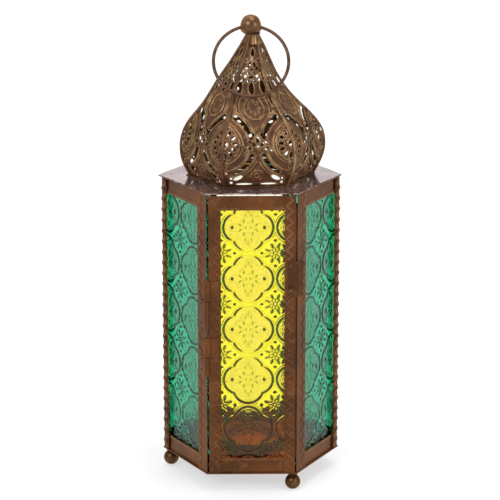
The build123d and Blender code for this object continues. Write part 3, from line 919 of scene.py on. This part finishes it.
def carry_ring():
    """Wire ring, bent round and closed with a small soldered joint, leaning forward on the dome."""
    frame_wire, wire = 0.95, 1.05
    size = (RING[1].x - RING[0].x) / 2 - frame_wire
    bm = bmesh.new()
    bmesh.ops.create_circle(bm, segments=16, radius=wire)
    turn(bm, 90, "X")
    bmesh.ops.translate(bm, vec=(size, 0, 0), verts=bm.verts)
    spin_round(bm, list(bm.verts) + list(bm.edges), 160)

    def bent(x, y, z):
        angle, tube = np.arctan2(y, x), np.hypot(x, y) - size
        joint = 1 + 0.12 * np.exp(-((angle + 1.1) / 0.05) ** 2)
        return (size + tube * joint) * np.cos(angle), (size + tube * joint) * np.sin(angle), z * joint

    reshape(bm, bent)
    middle_y, middle_z = (RING[0].y + RING[1].y) / 2, (RING[0].z + RING[1].z) / 2
    lean = np.degrees(np.arctan2(-middle_y, RING_AXIS - middle_z))
    turn(bm, 90 - lean, "X")
    bmesh.ops.translate(bm, vec=(0, middle_y, middle_z), verts=bm.verts)
    paint(bm, "relief", 0.45)
    return finish_piece("carry_ring", bm, "ring", ["carry_ring"], wire_metal())


# ---- feet and cup ----
def ball_foot(node):
    """Turned ball on a neck with a thin collar, filed flat underneath."""
    low, high = box_mm(node)
    x, y = (low.x + high.x) / 2, (low.y + high.y) / 2
    centre, top = 4.9, high.z
    profile = [(0, 0), *arc(0, centre, 5.0, -78.5, 60, 22), (2.5, centre + 4.45),
               *arc(2.9, top - 1.2, 0.35, -90, 90, 5),
               (2.3, top - 0.75), (3.2, top - 0.35), (3.2, top), (0, top)]
    bm = turned(profile, 48)
    heights = np.array([v.co.z for v in bm.verts])
    # The lower part keeps the dark paint and only the top rubs to brass: painted shade on the underside.
    paint(bm, "relief", 0.42 * smooth_step(heights, 5.0, 8.5))
    bmesh.ops.translate(bm, vec=(x, y, 0), verts=bm.verts)
    return finish_piece(node, bm, "lantern", [node], foot_metal())


def candle_cup():
    low, high, outer = CUP[0].z, CUP[1].z, CUP[1].x
    profile = [(0, low), (outer - 1.0, low), (outer, low + 0.9), (outer, high - 0.5),
               *arc(outer - 0.3, high - 0.3, 0.3, 0, 180, 6),
               (outer - 0.6, low + 1.2), (outer - 1.4, low + 0.6), (0, low + 0.6)]
    bm = turned(profile, 72)
    paint(bm, "relief", 0.3)
    return finish_piece("candle_cup", bm, "lantern", ["candle_cup"], body_metal())


# ---- hinge and latch ----
KNUCKLE_RADIUS, LEAF_SHEET = 1.8, 0.6
DOOR_KNUCKLES = ((DOOR_LEAF[0].z, DOOR_LEAF[0].z + 12.6), (DOOR_LEAF[1].z - 13.2, DOOR_LEAF[1].z))
BODY_KNUCKLES = ((BODY_LEAF[0].z, BODY_LEAF[0].z + 12.2), (BODY_LEAF[1].z - 17.8, BODY_LEAF[1].z))


def rivet_head(bm, x, y, z, size=1.0):
    made = bmesh.ops.create_uvsphere(bm, u_segments=16, v_segments=10, radius=size)["verts"]
    bmesh.ops.scale(bm, vec=(1, 0.45, 1), verts=made)
    bmesh.ops.translate(bm, vec=(x, y, z), verts=made)


def hinge_half(node, body, spans, mirrored):
    """Leaves rolled round the pin, each held by two small rivets."""
    bm = bmesh.new()
    x0, x1 = -HALF_SIDE + KNUCKLE_RADIUS + 0.2, -HALF_SIDE + 8.2
    front = -APOTHEM - LEAF_SHEET
    for z0, z1 in spans:
        rod(bm, KNUCKLE_RADIUS, z0, z1, -HALF_SIDE, -APOTHEM, 0.3, 36)
        block(bm, (-HALF_SIDE, front - 0.9, z0 + 0.1), (x0 + 0.3, front + 0.35, z1 - 0.1), 0.3)
        block(bm, (x0, front, z0), (x1, -APOTHEM, z1), 0.18)
        for z in (z0 + 2.6, z1 - 2.6):
            rivet_head(bm, x1 - 2.2, front, z, 0.85)
    if mirrored:
        bmesh.ops.scale(bm, vec=(-1, 1, 1), verts=bm.verts)
        bmesh.ops.reverse_faces(bm, faces=bm.faces)
        bmesh.ops.translate(bm, vec=(-2 * HALF_SIDE, 0, 0), verts=bm.verts)
        turn(bm, -60, "Z", (-HALF_SIDE, -APOTHEM, 0))
    paint(bm, "relief", 0.2)
    return finish_piece(node, bm, body, [node], body_metal())


def hinge_pin():
    low, high = PIN[0].z, PIN[1].z
    profile = [(0, low), (0.6, low), (0.9, low + 0.4), (0.9, high - 0.8), (1.5, high - 0.8),
               *arc(0.7, high - 0.75, 0.75, 0, 90, 6), (0, high)]
    bm = turned(profile, 32)
    bmesh.ops.translate(bm, vec=(-HALF_SIDE, -APOTHEM, 0), verts=bm.verts)
    paint(bm, "relief", 0.5)
    return finish_piece("hinge_pin", bm, "lantern", ["hinge_pin"], wire_metal())


def latch_clip():
    """Springy strip bent round the corner, its ends a little flared."""
    low, high = CLIP[0].z, CLIP[1].z
    wing = 5.3
    bm = sheet_grid(-(HALF_SIDE - CLIP[0].x), wing, low, high, 0.3)
    u, v, _ = places(bm)
    corner_y = -(APOTHEM + LEAF_SHEET)
    corner_x = (APOTHEM + 0.9 + 0.5 * corner_y) / cos(pi / 6)
    soft = np.sqrt(u ** 2 + 1.0) - 0.6
    left, right = (soft - u) / 2, (soft + u) / 2
    flare = 0.5 * smooth_step(u, 3.6, wing)
    paint(bm, "relief", np.maximum(0.75, stroke(v - low, 1.0)))
    x = corner_x - left + 0.5 * right + flare * 0.5
    y = corner_y + 0.866 * right - flare * 0.866
    reshape(bm, lambda *_: (x, y, v))
    thicken(bm, LEAF_SHEET - 0.05)
    return finish_piece("latch_clip", bm, "door", ["latch_clip"], body_metal())


def latch_rivets():
    low, high = box_mm("latch_rivets")
    bm = bmesh.new()
    for z in (low.z + 1.0, high.z - 1.0):
        rivet_head(bm, (low.x + high.x) / 2, low.y + 0.45, z, 1.0)
    paint(bm, "relief", 0.2)
    return finish_piece("latch_rivets", bm, "door", ["latch_rivets"], wire_metal())


def repaint(node, material):
    """Gives a frame node that keeps its shape a finish."""
    materials = frame["nodes"][node].data.materials
    materials.clear()
    materials.append(material)


# ---- stage ----
def stage_material():
    material, tree, shader = start_material("Pale studio card")
    place = add(tree, "ShaderNodeTexCoord").outputs["Object"]
    tone = mix_colour(tree, noise(tree, place, 3.0), (0.35, 0.35, 0.35, 1), (0.37, 0.37, 0.37, 1))
    tree.links.new(tone, shader.inputs["Base Color"])
    shader.inputs["Roughness"].default_value = 0.9
    shader.inputs["Emission Color"].default_value = (1, 1, 1, 1)
    shader.inputs["Emission Strength"].default_value = 0.56
    return material


def area_light(name, place, aim, size, power, colour=(1, 1, 1), seen=True):
    data = bpy.data.lights.new(name, "AREA")
    data.shape, data.size, data.energy, data.color = "SQUARE", size, power, colour
    light = bpy.data.objects.new(name, data)
    light.location = place
    light.rotation_euler = (Vector(aim) - Vector(place)).to_track_quat("-Z", "Y").to_euler()
    light.visible_camera = light.visible_glossy = light.visible_transmission = seen
    bpy.context.scene.collection.objects.link(light)


# ---- operators ----
class BuildGlass(bpy.types.Operator):
    """Presses the six panes"""
    bl_idname = "lantern.glass"
    bl_label = "Glass panes"

    def execute(self, context):
        pitch = sizes().motif_pitch / MM
        first = FLOOR[0].z + 96.8
        across = -2.3
        pane("door_glass", "door", 0, *DOOR_GLASS, across, first, amber_glass(), "amber_glass", 0.8)
        for side, name in SIDE_NAMES.items():
            if side == 3:
                start, material, slot = across, clear_glass(), "clear_glass"
            else:
                start = pitch / 2 + (7.5 if side < 3 else -8.0)
                material, slot = green_glass(), "green_glass"
            pane(f"glass_{name}", "lantern", side, *GLASS, start, first + 0.9, material, slot)
        return {"FINISHED"}


class BuildPosts(bpy.types.Operator):
    """Folds and beads the corner posts and the strips beside the door"""
    bl_idname = "lantern.posts"
    bl_label = "Corner posts"

    def execute(self, context):
        for angle, name in POST_NAMES.items():
            folded_post(f"corner_post_{name}", angle)
        inner, outer = HALF_SIDE - DOOR_POST_WIDTH, HALF_SIDE
        keep = [(z0 - 1, z1 + 1) for z0, z1 in BODY_KNUCKLES]
        flat_strip("door_post_hinge", "lantern", 5, inner, outer, BODY_LOW, BODY_HIGH, True, keep)
        flat_strip("door_post_latch", "lantern", 1, -outer, -inner, BODY_LOW, BODY_HIGH, False)
        return {"FINISHED"}


class BuildRails(bpy.types.Operator):
    """Rolls the rails above and below the fixed panes"""
    bl_idname = "lantern.rails"
    bl_label = "Rails"

    def execute(self, context):
        half = (APOTHEM - 2 * SHEET) * tan(pi / 6)
        for side, name in SIDE_NAMES.items():
            for rail in ("top", "bottom"):
                low, high = box_mm(f"rail_{rail}_{name}")
                beaded = rail == "bottom"
                flat_rail(f"rail_{rail}_{name}", "lantern", side, -half, half, low.z, high.z, beaded)
        return {"FINISHED"}


class BuildPlates(bpy.types.Operator):
    """Spins the floor, the top plate and the candle's cup"""
    bl_idname = "lantern.plates"
    bl_label = "Plates and cup"

    def execute(self, context):
        floor_plate()
        top_plate()
        candle_cup()
        for node in ("floor_lip", "glass_clips", "door_glass_clips", "door_stop"):
            repaint(node, body_metal())
        return {"FINISHED"}


class BuildDoor(bpy.types.Operator):
    """Makes the door's frame, hinge and latch"""
    bl_idname = "lantern.door"
    bl_label = "Door"

    def execute(self, context):
        keep = [(z0 - 1, z1 + 1) for z0, z1 in DOOR_KNUCKLES]
        low, high = HINGE_STILE
        flat_strip("door_stile_hinge", "door", 0, low.x, high.x, low.z, high.z, False, keep,
                   bead_width=3.6, worn=0.3)
        low, high = LATCH_STILE
        flat_strip("door_stile_latch", "door", 0, low.x, high.x, low.z, high.z, True,
                   [(CLIP[0].z, CLIP[1].z)])
        for rail in ("top", "bottom"):
            low, high = box_mm(f"door_rail_{rail}")
            flat_rail(f"door_rail_{rail}", "door", 0, low.x, high.x, low.z, high.z, rail == "bottom")
        hinge_half("hinge_leaf_door", "door", DOOR_KNUCKLES, False)
        hinge_half("hinge_leaf_body", "lantern", BODY_KNUCKLES, True)
        hinge_pin()
        latch_clip()
        latch_rivets()
        return {"FINISHED"}


class BuildDome(bpy.types.Operator):
    """Presses and pierces the dome's gores and lays the ribs over their seams"""
    bl_idname = "lantern.dome"
    bl_label = "Dome"

    def execute(self, context):
        dome_flange()
        for number in range(6):
            dome_panel(number)
            dome_rib(number)
        return {"FINISHED"}


class BuildFinial(bpy.types.Operator):
    """Turns the cap and ball and bends the carrying ring"""
    bl_idname = "lantern.finial"
    bl_label = "Ball and ring"

    def execute(self, context):
        neck_cap()
        finial_ball()
        carry_ring()
        return {"FINISHED"}


class BuildFeet(bpy.types.Operator):
    """Turns the ball feet"""
    bl_idname = "lantern.feet"
    bl_label = "Feet"

    def execute(self, context):
        for node in ("foot_left", "foot_front", "foot_back"):
            ball_foot(node)
        return {"FINISHED"}


class BuildStage(bpy.types.Operator):
    """Sets the pale sweep, the soft lights and the camera"""
    bl_idname = "lantern.stage"
    bl_label = "Stage"

    def execute(self, context):
        bm = bmesh.new()
        bmesh.ops.create_grid(bm, x_segments=8, y_segments=120, size=1.0)
        mesh = bpy.data.meshes.new("sweep")
        flat, turn_radius = 0.9, 0.9

        def swept(x, y, z):
            run = (y + 1) * 3.0 - 2.4
            angle = np.clip(run - flat, 0, turn_radius * pi / 2) / turn_radius
            rise = np.maximum(run - flat - turn_radius * pi / 2, 0)
            depth = np.minimum(run, flat) + turn_radius * np.sin(angle)
            return x * 3.5, depth, turn_radius * (1 - np.cos(angle)) + rise

        reshape(bm, swept)
        bm.to_mesh(mesh)
        bm.free()
        mesh.shade_smooth()
        mesh.materials.append(stage_material())
        sweep = bpy.data.objects.new("sweep", mesh)
        bpy.context.scene.collection.objects.link(sweep)
        world = bpy.data.worlds.new("Soft studio")
        context.scene.world = world
        world.use_nodes = True
        world.node_tree.nodes["Background"].inputs["Color"].default_value = (1, 1, 1, 1)
        world.node_tree.nodes["Background"].inputs["Strength"].default_value = 0.82
        area_light("Key", (-1.0, -1.5, 1.3), (0, 0, 0.17), 0.7, 18, colour=(0.86, 0.93, 1.0))
        area_light("Fill", (1.3, -1.1, 0.7), (0, 0, 0.15), 0.9, 9)
        area_light("Back wash", (0, 0.9, 1.7), (0, 1.6, 0.3), 1.2, 10)
        area_light("Top", (0.2, -0.1, 1.5), (0, 0, 0.2), 0.6, 6)
        area_light("Glow inside", (0, 0, 0.14), (0, 0, 0), 0.03, 0.5, colour=(1.0, 0.42, 0.12), seen=False)
        camera = bpy.data.objects.new("Camera", bpy.data.cameras.new("Camera"))
        turn_by, rise_by, away = radians(-0.844), radians(15.697), 1.496
        back = Vector((sin(turn_by) * cos(rise_by), -cos(turn_by) * cos(rise_by), sin(rise_by)))
        aim = Vector((-0.0005, 0, 0.14716))
        camera.location = aim + back * away
        camera.rotation_euler = back.to_track_quat("Z", "Y").to_euler()
        camera.data.lens, camera.data.sensor_width = 166.24, 36.0
        camera.data.clip_end = 30
        context.scene.collection.objects.link(camera)
        context.scene.camera = camera
        context.scene.view_settings.view_transform = "Standard"
        return {"FINISHED"}


OPERATORS = (
    BuildGlass, BuildPosts, BuildRails, BuildPlates, BuildDoor, BuildDome, BuildFinial, BuildFeet,
    BuildStage,
)


class LanternPanel(bpy.types.Panel):
    """Lists the lantern's sizes, colours and pieces"""
    bl_idname = "VIEW3D_PT_lantern"
    bl_label = "Candle lantern"
    bl_space_type = "VIEW_3D"
    bl_region_type = "UI"
    bl_category = "Lantern"

    def draw(self, context):
        for group in (context.scene.lantern_sizes, context.scene.lantern_colours):
            for key in group.bl_rna.properties.keys():
                if key not in ("rna_type", "name"):
                    self.layout.prop(group, key)
        for operator in OPERATORS:
            self.layout.operator(operator.bl_idname)


CLASSES = (LanternSizes, LanternColours, *OPERATORS, LanternPanel)


def register():
    for item in CLASSES:
        bpy.utils.register_class(item)
    bpy.types.Scene.lantern_sizes = bpy.props.PointerProperty(type=LanternSizes)
    bpy.types.Scene.lantern_colours = bpy.props.PointerProperty(type=LanternColours)


def unregister():
    del bpy.types.Scene.lantern_sizes
    del bpy.types.Scene.lantern_colours
    for item in reversed(CLASSES):
        bpy.utils.unregister_class(item)


def main():
    register()
    for operator in OPERATORS:
        getattr(bpy.ops.lantern, operator.bl_idname.split(".")[1])()


if __name__ == "__main__":
    main()
